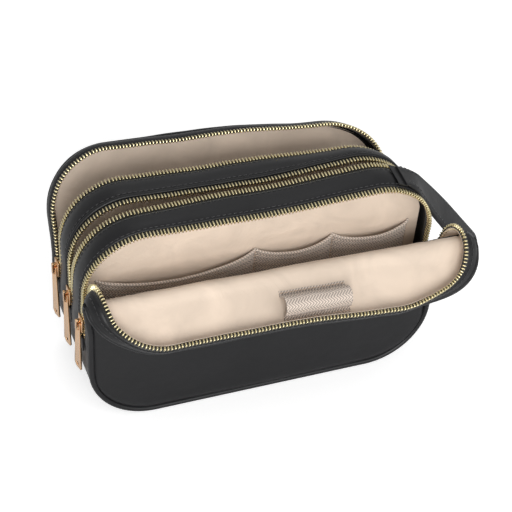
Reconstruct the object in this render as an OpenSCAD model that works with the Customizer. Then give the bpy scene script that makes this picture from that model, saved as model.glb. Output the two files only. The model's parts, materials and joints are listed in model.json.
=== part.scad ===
// Cable organizer pouch: three zipped compartments, a fold-down front, a side carrying strap.
// Millimetres, +Z up, front towards -Y. The origin is the middle of the flat base, on the floor.
// Each section is drawn closed and upright, then turned about its fold into the rest position.

/* [Pouch] */
// Width of the pouch, side to side
pouch_w = 225; // [180:1:280]
// Height of the pouch
pouch_h = 134; // [120:1:170]
// Depth of the pouch when every zip is closed
pouch_d = 88; // [80:1:120]
// Corner radius seen from the front
corner_r = 42; // [34:1:46]
// Height at which the zips end and the sections fold
split_z = 62; // [54:1:68]

/* [Walls] */
// Thickness of a padded wall
wall = 2.4; // [1.6:0.1:3.6]
// Thickness of the lining
lining = 0.6; // [0.4:0.1:1.2]
// Thickness of a divider
divider_t = 1.2; // [0.8:0.1:2]
// Diameter of the piping
piping_d = 3.6; // [2.4:0.1:5]

/* [Zips] */
// Front zip, from the front face
front_zip_at = 15; // [13:0.5:20]
// Middle zip, from the front face
mid_zip_at = 43; // [39:0.5:50]
// Back zip, from the front face
back_zip_at = 71; // [66:0.5:72]
// Width of one row of teeth
teeth_w = 2.4; // [1.6:0.1:3.2]
// Thickness of the teeth
teeth_t = 2.4; // [1.8:0.1:2.4]
// Gap between the two rows when closed
row_gap = 1.4; // [1.2:0.1:2]
// Tape that shows beside each row
tape_w = 3; // [2:0.1:5]
// Thickness of the tape
tape_t = 0.8; // [0.5:0.1:1.2]

/* [Front fold] */
// Height of the fold line at mid width
fold_z = 96; // [92:1:104]
// Slope of the fold line, down to the right
fold_slope = 1.2; // [0:0.1:3]
// How far the front flap hangs open
flap_open = 122; // [0:1:150]
// How far the front section leans forward
front_open = 6; // [0:0.5:12]
// How far the back section leans back
back_open = 22; // [0:1:35]

/* [Pockets] */
// Height of the elastic pocket band
pocket_h = 22; // [14:1:26]
// Depth of a pocket
pocket_d = 8; // [6:0.5:9]
// Width of the wide pocket
wide_pocket_w = 102; // [80:1:110]
// Width of each small pocket
small_pocket_w = 51; // [40:1:55]
// Thickness of the elastic
elastic_t = 1; // [0.8:0.1:1.6]
// Length of the pen loop
loop_w = 42; // [30:1:60]
// Height of the pen loop
loop_h = 13; // [12:0.5:16]
// Bore of the pen loop
loop_bore = 9.2; // [8:0.1:10]
// Height of the slip pocket in the back
slip_pocket_h = 78; // [60:1:86]

/* [Strap] */
// Width of the carrying strap
strap_w = 18; // [14:1:20]
// Thickness of the carrying strap
strap_t = 3.4; // [2.4:0.1:4.5]
// Outer radius of the strap's bend
strap_r = 15; // [12:1:20]
// How far the strap stands out from the side
strap_out = 44; // [36:1:50]

/* [Sliders] */
// Width of a slider
slider_w = 8.4; // [7:0.1:9.4]
// Length of a slider
slider_l = 11; // [9:0.5:14]
// Thickness of a slider plate
plate_t = 1.2; // [0.8:0.1:1.6]
// Width of the crown that holds the pull
crown_w = 2.2; // [1.6:0.1:2.6]
// Length of a pull
pull_l = 38; // [28:1:42]
// Width of a pull at its lower end
pull_w = 7.4; // [6:0.1:9]
// Thickness of a pull
pull_t = 1.4; // [1:0.1:1.8]
// Diameter of the bar that turns in the crown
bar_d = 1.6; // [1.2:0.1:2]

/* [Hidden] */
$fn = 64;
clear = 0.3;
fold_gap = 0.4;
// Size that reaches past every outline
far = 400;

front_y = -pouch_d / 2;
back_y = pouch_d / 2;
front_zip_y = front_y + front_zip_at;
mid_zip_y = front_y + mid_zip_at;
back_zip_y = front_y + back_zip_at;
zip_half = row_gap / 2 + teeth_w + tape_w;
gusset_front_y = front_y + piping_d;
gusset_back_y = back_y - piping_d;
front_divider_y = (front_zip_y + mid_zip_y) / 2;
mid_divider_y = (mid_zip_y + back_zip_y) / 2;
section_z = split_z + fold_gap;
side_x = pouch_w / 2;
inside = wall + lining;
pivot_out = clear;

black = "#2e2e30";
tan = "#dcc7b4";
elastic = "#b9a99c";
gold = "#cdb56c";
rose_gold = "#dfb186";

// ---- Outlines and rings, drawn upright in the closed position ----

// Rounded outline of the pouch seen from the front, set in by inset all round
module outline(inset) {
    r = corner_r - inset;
    w = pouch_w - 2 * inset;
    translate([-w / 2 + r, inset]) square([w - 2 * r, pouch_h - 2 * inset]);
    translate([-w / 2, inset + r]) square([w, pouch_h - 2 * inset - 2 * r]);
    for (x = [-w / 2 + r, w / 2 - r], z = [inset + r, pouch_h - inset - r])
        translate([x, z]) circle(r);
}

// A slab of the outline between two depths
module slab(inset, y0, y1) {
    translate([0, y1, 0]) rotate([90, 0, 0]) linear_extrude(y1 - y0) outline(inset);
}

// A strip that runs round the outline, from one inset to another, between two depths
module ring(inset0, inset1, y0, y1) {
    translate([0, y1, 0]) rotate([90, 0, 0]) linear_extrude(y1 - y0) difference() {
        outline(inset0);
        outline(inset1);
    }
}

// A round cord that runs round the outline at one depth
module piping_loop(y) {
    r = piping_d / 2;
    bend = corner_r - r;
    x = pouch_w / 2 - corner_r;
    for (s = [-1, 1]) {
        translate([s * (pouch_w / 2 - r), y, corner_r]) cylinder(h = pouch_h - 2 * corner_r, r = r);
        for (z = [r, pouch_h - r])
            translate([-x, y, z]) rotate([0, 90, 0]) cylinder(h = 2 * x, r = r);
        for (t = [0, 1])
            translate([s * x, y, t ? pouch_h - corner_r : corner_r])
                mirror([s < 0 ? 1 : 0, 0, 0]) mirror([0, 0, t ? 0 : 1])
                    rotate([90, 0, 0]) rotate_extrude(angle = 90) translate([bend, 0]) circle(r);
    }
}

// The part of a shape above or below a level, or beside the sloping fold
module below(z) { intersection() { children(); translate([-far / 2, -far / 2, z - far]) cube(far); } }
module above(z) { intersection() { children(); translate([-far / 2, -far / 2, z]) cube(far); } }
module under_fold() {
    intersection() {
        children();
        translate([0, 0, fold_z]) rotate([0, fold_slope, 0])
            translate([-far / 2, -far / 2, -far - fold_gap / 2]) cube(far);
    }
}
module over_fold() {
    intersection() {
        children();
        translate([0, 0, fold_z]) rotate([0, fold_slope, 0])
            translate([-far / 2, -far / 2, fold_gap / 2]) cube(far);
    }
}

// Teeth and tape of one row: side is -1 for the front row and 1 for the rear row
module teeth_row(y, side) {
    a = y + side * row_gap / 2;
    b = a + side * teeth_w;
    ring(0, teeth_t, min(a, b), max(a, b));
}
module tape_row(y, side) {
    a = y + side * (row_gap / 2 + teeth_w);
    b = y + side * zip_half;
    ring((teeth_t - tape_t) / 2, (teeth_t + tape_t) / 2, min(a, b), max(a, b));
}

// ---- Rest positions of the sections ----

module front_pose() {
    translate([0, front_y - pivot_out, split_z]) rotate([front_open, 0, 0])
        translate([0, -(front_y - pivot_out), -split_z]) children();
}
module flap_pose() {
    front_pose() translate([0, front_y - pivot_out, fold_z])
        rotate(a = flap_open, v = [cos(fold_slope), 0, -sin(fold_slope)])
            translate([0, -(front_y - pivot_out), -fold_z]) children();
}
module back_pose() {
    translate([0, back_y + pivot_out, split_z]) rotate([-back_open, 0, 0])
        translate([0, -(back_y + pivot_out), -split_z]) children();
}

// ---- Base and middle section ----

module base_gusset() { color(black) below(split_z) ring(0, wall, gusset_front_y, gusset_back_y); }
module base_lining() {
    color(tan) below(split_z) ring(wall, inside, gusset_front_y, gusset_back_y);
}
module front_panel_lower() { color(black) below(split_z) slab(piping_d, front_y, front_y + wall); }
module front_lining_lower() {
    color(tan) below(split_z) slab(piping_d, front_y + wall, front_y + inside);
}
module front_piping_lower() { color(black) below(split_z) piping_loop(front_y + piping_d / 2); }
module back_panel_lower() { color(black) below(split_z) slab(piping_d, back_y - wall, back_y); }
module back_lining_lower() {
    color(tan) below(split_z) slab(piping_d, back_y - inside, back_y - wall);
}
module back_piping_lower() { color(black) below(split_z) piping_loop(back_y - piping_d / 2); }
module divider(y, inset) { slab(inset, y - divider_t / 2, y + divider_t / 2); }
module front_divider_lower() { color(tan) below(split_z) divider(front_divider_y, inside); }
// The lower half is set in by the lining, the upper half reaches the band
module mid_divider() {
    color(tan) {
        below(split_z) divider(mid_divider_y, inside);
        above(split_z) divider(mid_divider_y, wall);
    }
}
mid_band_front_y = mid_zip_y + zip_half;
mid_band_back_y = back_zip_y - zip_half;
mid_seam_y = mid_band_front_y + piping_d / 2;
module mid_piping() {
    color(black) above(split_z) ring(0, wall, mid_band_front_y, mid_band_front_y + piping_d / 2);
}
module mid_band() { color(black) above(split_z) ring(0, wall, mid_seam_y, mid_band_back_y); }
module mid_zip_tape_rear() { color(black) above(split_z) tape_row(mid_zip_y, 1); }
module mid_zip_teeth_rear() { color(gold) above(split_z) teeth_row(mid_zip_y, 1); }
module back_zip_tape_front() { color(black) above(split_z) tape_row(back_zip_y, -1); }
module back_zip_teeth_front() { color(gold) above(split_z) teeth_row(back_zip_y, -1); }
// A slip pocket on the back of the divider, open along its top
slip_y = mid_divider_y + divider_t / 2;
module slip_pocket() {
    color(tan) below(inside + slip_pocket_h) difference() {
        slab(inside, slip_y, slip_y + pocket_d);
        above(inside + lining) slab(inside + lining, slip_y, slip_y + pocket_d - lining);
    }
}
// Short fabric tabs that close both ends of each zip, on the outside of the base gusset
tab_l = 7;
tab_t = 0.8;
module zip_end_tabs() {
    color(black) for (s = [-1, 1], y = [front_zip_y, mid_zip_y, back_zip_y])
        translate([s * (side_x + tab_t / 2), y, split_z - tab_l / 2 - fold_gap])
            cube([tab_t, 2 * zip_half - 2 * tape_w, tab_l], center = true);
}

// ---- Front section ----

module front_part() { front_pose() above(section_z) children(); }
module front_panel_middle() {
    color(black) front_part() under_fold() slab(piping_d, front_y, front_y + wall);
}
module front_lining_middle() {
    color(tan) front_part() under_fold() slab(piping_d, front_y + wall, front_y + inside);
}
module front_piping_middle() {
    color(black) front_part() under_fold() piping_loop(front_y + piping_d / 2);
}
strip_y = front_zip_y - zip_half;
module front_strip() {
    color(black) front_part() under_fold() ring(0, wall, gusset_front_y, strip_y);
}
front_band_front_y = front_zip_y + zip_half;
front_band_back_y = mid_zip_y - zip_half;
module front_band() {
    color(black) front_part() ring(0, wall, front_band_front_y, front_band_back_y);
}
module front_divider() { color(tan) front_part() divider(front_divider_y, wall); }
module front_zip_tape_upper() { color(black) front_part() tape_row(front_zip_y, 1); }
module front_zip_teeth_upper() { color(gold) front_part() teeth_row(front_zip_y, 1); }
module front_zip_tape_lower() { color(black) front_part() under_fold() tape_row(front_zip_y, -1); }
module front_zip_teeth_lower() { color(gold) front_part() under_fold() teeth_row(front_zip_y, -1); }
module mid_zip_tape_front() { color(black) front_part() tape_row(mid_zip_y, -1); }
module mid_zip_teeth_front() { color(gold) front_part() teeth_row(mid_zip_y, -1); }

// Elastic pockets: one band held by a floor and by a seam at each end and between pockets
pockets_w = wide_pocket_w + 2 * small_pocket_w;
pocket_z = section_z + 2;
pocket_back_y = front_divider_y - divider_t / 2;
pocket_front_y = pocket_back_y - pocket_d;
module pocket_band() {
    seams = [0, wide_pocket_w, wide_pocket_w + small_pocket_w, pockets_w];
    color(elastic) front_pose() translate([-pockets_w / 2, 0, pocket_z]) {
        translate([0, pocket_front_y, 0]) cube([pockets_w, elastic_t, pocket_h]);
        translate([0, pocket_front_y, 0]) cube([pockets_w, pocket_d, elastic_t]);
        for (x = seams)
            translate([x - (x > 0 ? elastic_t : 0), pocket_front_y, 0])
                cube([elastic_t, pocket_d, pocket_h]);
    }
}
binding_h = 3;
module pocket_binding() {
    color(elastic) front_pose()
        translate([-pockets_w / 2, pocket_front_y - lining, pocket_z + pocket_h - binding_h])
            cube([pockets_w, lining, binding_h]);
}

// ---- Carrying strap, on the right side of the front band ----

strap_y = (front_band_front_y + front_band_back_y) / 2;
strap_seat_r = corner_r + clear;
strap_outer_r = strap_seat_r + strap_t;
corner_x = side_x - corner_r;
corner_z = pouch_h - corner_r;
strap_bend_x = side_x + strap_out - strap_r;
// Outward direction of the straight run, which leaves the corner and is tangent to the bend
run_n = [0.8, 0.6];
strap_bend_z = corner_z
    + (strap_outer_r - strap_r - run_n[0] * (strap_bend_x - corner_x)) / run_n[1];
strap_tab = 11;
strap_patch_w = strap_w - 3;
strap_patch_from = 56;
run_angle = atan2(run_n[1], run_n[0]);
function arc_points(x, z, r, from, to, steps) = [
    for (i = [0 : steps])
        let (a = from + (to - from) * i / steps) [x + r * cos(a), z + r * sin(a)]
];
// One face of the strap, set in by inset: round the corner, down the run, round the bend, home
function strap_face(inset) = concat(
    arc_points(corner_x, corner_z, strap_outer_r - inset, strap_patch_from, run_angle, 6),
    arc_points(strap_bend_x, strap_bend_z, strap_r - inset, run_angle, -90, 24),
    [[side_x + clear, strap_bend_z - strap_r + inset]]
);
module carry_strap() {
    outer = strap_face(0);
    inner = strap_face(strap_t);
    last = len(inner) - 1;
    color(black) front_pose() translate([0, strap_y + strap_w / 2, 0]) rotate([90, 0, 0])
        linear_extrude(strap_w) polygon(concat(outer, [for (i = [0 : last]) inner[last - i]]));
}
// The sewn ends: a patch on the corner and a tab turned up against the side
module strap_patches() {
    color(black) front_pose() {
        translate([side_x + clear, strap_y - strap_patch_w / 2, strap_bend_z - strap_r + strap_t])
            cube([strap_t - wall / 2, strap_patch_w, strap_tab]);
        translate([corner_x, strap_y, corner_z]) rotate([90, 0, 0])
            translate([0, 0, -strap_patch_w / 2])
                rotate([0, 0, strap_patch_from]) rotate_extrude(angle = 10)
                    translate([strap_seat_r, 0]) square([strap_t - wall / 2, strap_patch_w]);
    }
}

// ---- Front flap ----

module flap_part() { flap_pose() over_fold() children(); }
module flap_panel() { color(black) flap_part() slab(piping_d, front_y, front_y + wall); }
module flap_lining() { color(tan) flap_part() slab(piping_d, front_y + wall, front_y + inside); }
module flap_strip() { color(black) flap_part() ring(0, wall, gusset_front_y, strip_y); }
module flap_piping() { color(black) flap_part() piping_loop(front_y + piping_d / 2); }
module flap_zip_tape() { color(black) flap_part() tape_row(front_zip_y, -1); }
module flap_zip_teeth() { color(gold) flap_part() teeth_row(front_zip_y, -1); }
// The pen passes through the loop along X
loop_x = 22;
loop_z = fold_z + 21;
module pen_loop() {
    color(elastic) flap_pose() translate([loop_x, front_y + inside, loop_z]) difference() {
        translate([-loop_w / 2, 0, -loop_h / 2]) cube([loop_w, loop_bore + 2 * elastic_t, loop_h]);
        translate([-loop_w, loop_bore / 2 + elastic_t, 0]) rotate([0, 90, 0])
            cylinder(h = 2 * loop_w, d = loop_bore);
    }
}

// ---- Back section ----

module back_part() { back_pose() above(section_z) children(); }
module back_band() { color(black) back_part() ring(0, wall, back_zip_y + zip_half, gusset_back_y); }
module back_panel_upper() { color(black) back_part() slab(piping_d, back_y - wall, back_y); }
module back_lining_upper() {
    color(tan) back_part() slab(piping_d, back_y - inside, back_y - wall);
}
module back_piping_upper() { color(black) back_part() piping_loop(back_y - piping_d / 2); }
module back_zip_tape_rear() { color(black) back_part() tape_row(back_zip_y, 1); }
module back_zip_teeth_rear() { color(gold) back_part() teeth_row(back_zip_y, 1); }

// ---- Sliders and pulls, on the left side ----

slider_z = split_z + 8;
post_t = row_gap - 2 * clear;
crown_h = bar_d + 2 * clear + plate_t;
crown_l = slider_l - 3;
// Drawn with the side wall's face at x = 0 and outwards towards +X
module slider() {
    color(rose_gold) {
        translate([clear, -slider_w / 2, -slider_l / 2]) cube([plate_t, slider_w, slider_l]);
        translate([-teeth_t - clear - plate_t, -slider_w / 2, -slider_l / 2])
            cube([plate_t, slider_w, slider_l]);
        translate([-teeth_t - clear - plate_t, -post_t / 2, slider_l / 2 - 3])
            cube([teeth_t + 2 * clear + 2 * plate_t, post_t, 3]);
        difference() {
            translate([clear + plate_t, -crown_w / 2, -crown_l / 2])
                cube([crown_h, crown_w, crown_l]);
            translate([0, -crown_w, -crown_l / 2 + plate_t])
                cube([clear + plate_t + bar_d + 2 * clear, 2 * crown_w, crown_l - 2 * plate_t]);
        }
    }
}
pull_x = clear + plate_t + clear + bar_d / 2;
eye_w = crown_w + 4 * clear;
eye_l = crown_l / 2 + 4 * clear;
neck_w = eye_w + 2 * plate_t;
hole_d = 2.2;
module pull() {
    color(rose_gold) translate([pull_x, 0, 0]) {
        rotate([90, 0, 0]) cylinder(h = neck_w, d = bar_d, center = true);
        translate([-pull_t / 2, 0, 0]) rotate([90, 0, 90]) linear_extrude(pull_t) difference() {
            polygon([
                [-neck_w / 2, 0], [neck_w / 2, 0], [neck_w / 2, -eye_l - 1],
                [pull_w / 2, -pull_l * 0.7], [pull_w / 2, -pull_l],
                [0, -pull_l], [-pull_w / 2, -pull_l + 2.5], [-pull_w / 2, -pull_l * 0.7],
                [-neck_w / 2, -eye_l - 1]
            ]);
            translate([-eye_w / 2, -eye_l]) square([eye_w, eye_l + 1]);
            translate([0, -pull_l + 5]) circle(d = hole_d, $fn = 32);
        }
    }
}
module on_left(y, z) { translate([-side_x, y, z]) mirror([1, 0, 0]) children(); }
module front_slider() { front_pose() on_left(front_zip_y, slider_z) slider(); }
module front_pull() { front_pose() on_left(front_zip_y, slider_z) pull(); }
module mid_slider() { on_left(mid_zip_y, slider_z) slider(); }
module mid_pull() { on_left(mid_zip_y, slider_z) pull(); }
module back_slider() { on_left(back_zip_y, slider_z) slider(); }
module back_pull() { on_left(back_zip_y, slider_z) pull(); }

base_gusset();
base_lining();
front_panel_lower();
front_lining_lower();
front_piping_lower();
back_panel_lower();
back_lining_lower();
back_piping_lower();
front_divider_lower();
mid_divider();
mid_band();
mid_piping();
mid_zip_tape_rear();
mid_zip_teeth_rear();
back_zip_tape_front();
back_zip_teeth_front();
slip_pocket();
zip_end_tabs();
front_panel_middle();
front_lining_middle();
front_piping_middle();
front_strip();
front_band();
front_divider();
pocket_band();
pocket_binding();
front_zip_tape_upper();
front_zip_teeth_upper();
front_zip_tape_lower();
front_zip_teeth_lower();
mid_zip_tape_front();
mid_zip_teeth_front();
carry_strap();
strap_patches();
flap_panel();
flap_lining();
flap_strip();
flap_piping();
flap_zip_tape();
flap_zip_teeth();
pen_loop();
back_band();
back_panel_upper();
back_lining_upper();
back_piping_upper();
back_zip_tape_rear();
back_zip_teeth_rear();
front_slider();
mid_slider();
back_slider();
front_pull();
mid_pull();
back_pull();
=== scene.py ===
import json
import math

import bmesh
import bpy
from mathutils import Matrix, Vector, noise


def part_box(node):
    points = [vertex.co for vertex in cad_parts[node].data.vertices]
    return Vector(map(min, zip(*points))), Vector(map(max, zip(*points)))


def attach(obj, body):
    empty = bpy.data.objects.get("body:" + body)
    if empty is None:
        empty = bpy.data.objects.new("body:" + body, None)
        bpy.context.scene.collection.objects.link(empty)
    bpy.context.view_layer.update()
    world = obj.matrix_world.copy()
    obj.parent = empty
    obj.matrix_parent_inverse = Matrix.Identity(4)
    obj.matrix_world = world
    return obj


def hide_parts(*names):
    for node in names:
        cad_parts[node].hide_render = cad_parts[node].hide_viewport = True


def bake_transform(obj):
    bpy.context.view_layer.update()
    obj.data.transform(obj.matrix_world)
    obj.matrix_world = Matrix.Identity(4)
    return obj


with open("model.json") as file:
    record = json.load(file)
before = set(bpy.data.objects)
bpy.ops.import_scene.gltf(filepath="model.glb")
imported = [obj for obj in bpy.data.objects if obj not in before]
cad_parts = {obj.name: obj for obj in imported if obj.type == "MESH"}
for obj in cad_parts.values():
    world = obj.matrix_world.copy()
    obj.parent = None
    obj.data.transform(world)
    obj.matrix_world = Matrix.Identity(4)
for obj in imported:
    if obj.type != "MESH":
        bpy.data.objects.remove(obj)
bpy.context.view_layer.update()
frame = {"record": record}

bl_info = {
    "name": "Cable organizer pouch",
    "version": (1, 0, 0),
    "blender": (4, 5, 0),
    "location": "View3D > Sidebar > Pouch",
    "description": "Builds a three-compartment zipped pouch with its front folded down",
    "category": "Add Mesh",
}

MM = 0.001
JOINTS = {j["name"]: j for j in frame["record"]["behaviour"]["joints"]}


def box_mm(node):
    """Lowest and highest corner of a CAD node, in millimetres."""
    low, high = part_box(node)
    return Vector(low) / MM, Vector(high) / MM


def joint_spot(name):
    """A point on a joint's axis at rest, in millimetres."""
    return Vector(JOINTS[name]["pos_m"]) / MM


def opening(joint):
    """Degrees from the closed end of a joint's range to rest."""
    return -JOINTS[joint]["range_deg"][0]


def turn(joint, degrees):
    """Matrix, in millimetres, that turns a point about a joint's axis."""
    centre = joint_spot(joint)
    spin = Matrix.Rotation(math.radians(degrees), 4, Vector(JOINTS[joint]["axis"]))
    return Matrix.Translation(centre) @ spin @ Matrix.Translation(-centre)


GUSSET_LOW, GUSSET_HIGH = box_mm("base_gusset")
POCKET_LOW, POCKET_HIGH = box_mm("pocket_band")
FRONT_Y = box_mm("front_panel_lower")[0].y
BACK_Y = box_mm("back_panel_lower")[1].y
FRONT_OPEN = opening("front_section_fold")
FLAP_OPEN = opening("front_flap_fold")
BACK_OPEN = opening("back_section_fold")
FRONT_TURN = turn("front_section_fold", FRONT_OPEN)
HINGE_Y = joint_spot("front_section_fold").y
FOLD_Z = (FRONT_TURN.inverted() @ joint_spot("front_flap_fold")).z
FRONT_ZIP_Y = (FRONT_TURN.inverted() @ joint_spot("front_pull_swing")).y
MID_ZIP_Y = joint_spot("mid_pull_swing").y
BACK_ZIP_Y = joint_spot("back_pull_swing").y
FRONT_WALL_Y = (FRONT_ZIP_Y + MID_ZIP_Y) / 2  # middle of the front band, over the front divider
REAR_WALL_Y = (MID_ZIP_Y + BACK_ZIP_Y) / 2  # the same for the middle band

# Places in the closed shape, in millimetres, between which the soft cloth changes
FRONT_BEND = (54.0, 68.0)  # heights over which the front compartment starts to lean
BACK_BEND = (54.0, 72.0)  # the same for the back panel
GAPE_X, GAPE_Z, GAPE_DEEP = (-10.0, -80.0), (74.0, 104.0), 20.0  # parting of the middle zip
SLUMP_X, SLUMP_Y, SLUMP_TALL = (-10.0, 90.0), (4.0, 38.0), 70.0  # sinking of the rear shoulder
LOOSE_TALL = 20.0  # height above the zips' ends over which the shell grows slack
BAND_GAP = 5.5  # from the middle of a zip to the edge of the cloth beside it, mm
PANEL_INSET = 2.6  # from the outline to the edge of an outer panel, mm
LINING_INSET = 3.4  # the same for a lining, mm
FOLD_LAP = 0.8  # how far front and flap run past the fold, mm
PIPING = 1.8  # radius of the piping round front and back, mm
PIPING_INSET = 1.5  # from the outline to the middle of the piping, mm


# ---- Sizes that a user would change ----

class PouchSizes(bpy.types.PropertyGroup):
    """Sizes of the body, in millimetres unless they say otherwise."""

    width: bpy.props.FloatProperty(
        name="Width", description="Outside width, side to side, mm",
        default=GUSSET_HIGH.x - GUSSET_LOW.x)
    height: bpy.props.FloatProperty(
        name="Height", description="Outside height, mm", default=box_mm("mid_band")[1].z)
    corner: bpy.props.FloatProperty(
        name="Corner", description="Corner radius seen from the front, mm", default=42.0)
    split: bpy.props.FloatProperty(
        name="Zip end", description="Height at which the zips end, mm", default=GUSSET_HIGH.z)
    fold: bpy.props.FloatProperty(
        name="Fold", description="Height of the front fold at mid width, mm", default=FOLD_Z)
    fold_slope: bpy.props.FloatProperty(
        name="Fold slope", description="Fall of the fold line to the right, degrees", default=1.2)
    wall: bpy.props.FloatProperty(
        name="Wall", description="Thickness of a padded wall, mm", default=2.2)
    sag: bpy.props.FloatProperty(
        name="Sag", description="How far the top edges sink at mid width, mm", default=3.5)
    waves: bpy.props.FloatProperty(
        name="Waves", description="Height of the slow waves in the soft shell, mm", default=0.9)
    gape: bpy.props.FloatProperty(
        name="Gape", description="How far the middle zip parts at its left corner, mm",
        default=3.2)
    slump: bpy.props.FloatProperty(
        name="Slump", description="How far the rear right shoulder sinks, mm", default=10.5)
    ear_piping: bpy.props.FloatVectorProperty(
        name="Ears, piping", description="Push of the flap's left and right piping, mm",
        size=2, default=(5.0, 25.0))
    ear_teeth: bpy.props.FloatVectorProperty(
        name="Ears, teeth", description="Push of the flap's left and right teeth, mm",
        size=2, default=(-4.0, 11.0))
    ear_tuck: bpy.props.FloatVectorProperty(
        name="Ears, tuck", description="Share by which the left and right ends draw in",
        size=2, default=(0.15, 0.45))


class ZipSizes(bpy.types.PropertyGroup):
    """Sizes of the zips, in millimetres."""

    pitch: bpy.props.FloatProperty(
        name="Pitch", description="Distance from tooth to tooth, mm", default=2.15)
    tooth_long: bpy.props.FloatProperty(
        name="Tooth length", description="Length of a tooth across the zip, mm", default=3.5)
    tooth_wide: bpy.props.FloatProperty(
        name="Tooth width", description="Width of a tooth along the zip, mm", default=0.92)
    tooth_thick: bpy.props.FloatProperty(
        name="Tooth thickness", description="Thickness of a tooth, mm", default=2.2)
    half_gap: bpy.props.FloatProperty(
        name="Half gap", description="Half the gap between two closed rows, mm", default=0.7)


class PouchColours(bpy.types.PropertyGroup):
    """Colours as a designer would name them, in sRGB hex."""

    leather: bpy.props.StringProperty(
        name="Leather", description="Imitation leather, sRGB hex", default="111113")
    lining: bpy.props.StringProperty(
        name="Lining", description="Lining cloth, sRGB hex", default="d5c3b1")
    elastic: bpy.props.StringProperty(
        name="Elastic", description="Elastic webbing, sRGB hex", default="c3b5a9")
    tape: bpy.props.StringProperty(
        name="Tape", description="Zip tape, sRGB hex", default="101011")
    teeth: bpy.props.StringProperty(
        name="Teeth", description="Zip teeth, sRGB hex", default="e6d9ae")
    pulls: bpy.props.StringProperty(
        name="Pulls", description="Sliders and pulls, sRGB hex", default="ecc39a")


# ---- Where things are: the closed shape, and the turn from closed to rest ----

def sizes():
    return bpy.context.scene.pouch_sizes


def zip_sizes():
    return bpy.context.scene.pouch_zips


def rise(value, start, end):
    """From 0 at start to 1 at end, easing in and out; end may be the smaller of the two."""
    t = min(1.0, max(0.0, (value - start) / (end - start)))
    return t * t * (3 - 2 * t)


def place_root(point):
    return point


def place_front(point):
    """From the closed place to rest, easing in above the zip ends."""
    parted = sizes().gape * rise(point.y, FRONT_ZIP_Y, FRONT_ZIP_Y + GAPE_DEEP)
    parted *= rise(point.x, *GAPE_X) * rise(point.z, *GAPE_Z)
    lean = turn("front_section_fold", FRONT_OPEN * rise(point.z, *FRONT_BEND))
    return lean @ (point - Vector((0, parted, 0)))


def place_front_stiff(point):
    return FRONT_TURN @ point


def place_back(point):
    return turn("back_section_fold", BACK_OPEN * rise(point.z, *BACK_BEND)) @ point


def place_flap(point, share=1.0):
    """From closed to rest, with the flap turned by a share of its opening."""
    return turn("front_flap_fold", FLAP_OPEN * share) @ (FRONT_TURN @ point)


def fold_z(x):
    return sizes().fold - x * math.tan(math.radians(sizes().fold_slope))


def rim(s):
    """Point and outward normal on the outline; s runs from the foot of the left side, upwards."""
    p = sizes()
    r = p.corner
    half = p.width / 2
    side = p.height - 2 * r
    top = p.width - 2 * r
    arc = math.pi / 2 * r
    s = s % (2 * (side + top) + 4 * arc)
    runs = (
        (side, (-half, r), (0, 1), (-1, 0), None),
        (arc, (-half + r, p.height - r), None, None, 180),
        (top, (-half + r, p.height), (1, 0), (0, 1), None),
        (arc, (half - r, p.height - r), None, None, 90),
        (side, (half, p.height - r), (0, -1), (1, 0), None),
        (arc, (half - r, r), None, None, 0),
        (top, (half - r, 0), (-1, 0), (0, -1), None),
        (arc, (-half + r, r), None, None, -90),
    )
    for length, start, along, normal, angle in runs:
        if s <= length:
            break
        s -= length
    if angle is None:
        return start[0] + along[0] * s, start[1] + along[1] * s, normal[0], normal[1]
    a = math.radians(angle) - s / r
    return start[0] + r * math.cos(a), start[1] + r * math.sin(a), math.cos(a), math.sin(a)


def perimeter():
    p = sizes()
    return 2 * (p.width + p.height - 4 * p.corner) + 2 * math.pi * p.corner


def rim_left(z):
    """Distance along the outline of the point on the left side at height z."""
    r = sizes().corner
    top = sizes().height - r
    return z - r if z <= top else top - r + r * math.asin((z - top) / r)


def rim_right(z):
    p = sizes()
    upper = 2 * rim_left(p.height) + p.width - 2 * p.corner
    return upper - rim_left(z)


def middle(x):
    """1 at mid width, falling to 0 at the sides."""
    return math.cos(min(1.0, abs(x) / (sizes().width / 2)) * math.pi / 2) ** 1.4


def slump(x, y, z):
    """How far the cloth sinks towards the rear right shoulder."""
    p = sizes()
    return p.slump * rise(x, *SLUMP_X) * rise(y, *SLUMP_Y) * rise(z, p.split, p.split + SLUMP_TALL)


def wave(a, b, lengths, seed, height):
    """Gentle waves in cloth at (a, b), with their lengths along a and along b."""
    return noise.noise(Vector((a / lengths[0], b / lengths[1], seed))) * height


def slack(s, y):
    """How far the soft shell stands off its pattern there: sag at mid top, and slow waves."""
    x, z, _, nz = rim(s)
    p = sizes()
    waves = wave(s, y, (47, 30), 2.7, p.waves) + wave(s, y, (19, 13), 7.1, p.waves * 0.35)
    loose = rise(z, p.split, p.split + LOOSE_TALL)
    return waves * loose - p.sag * max(0.0, nz) * middle(x) * loose


def shell_point(s, y, inset):
    """Point of the closed shell, in millimetres."""
    x, z, nx, nz = rim(s)
    out = slack(s, y) - inset
    return Vector((x + nx * out, y, z + nz * out - slump(x, y, z)))


def steps(start, end, spacing):
    count = max(1, round(abs(end - start) / spacing))
    return [start + (end - start) * i / count for i in range(count + 1)]


# ---- Mesh helpers ----

def deselect():
    if bpy.context.mode != "OBJECT":
        bpy.ops.object.mode_set(mode="OBJECT")
    bpy.ops.object.select_all(action="DESELECT")


def activate(piece):
    deselect()
    piece.select_set(True)
    bpy.context.view_layer.objects.active = piece


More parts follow.
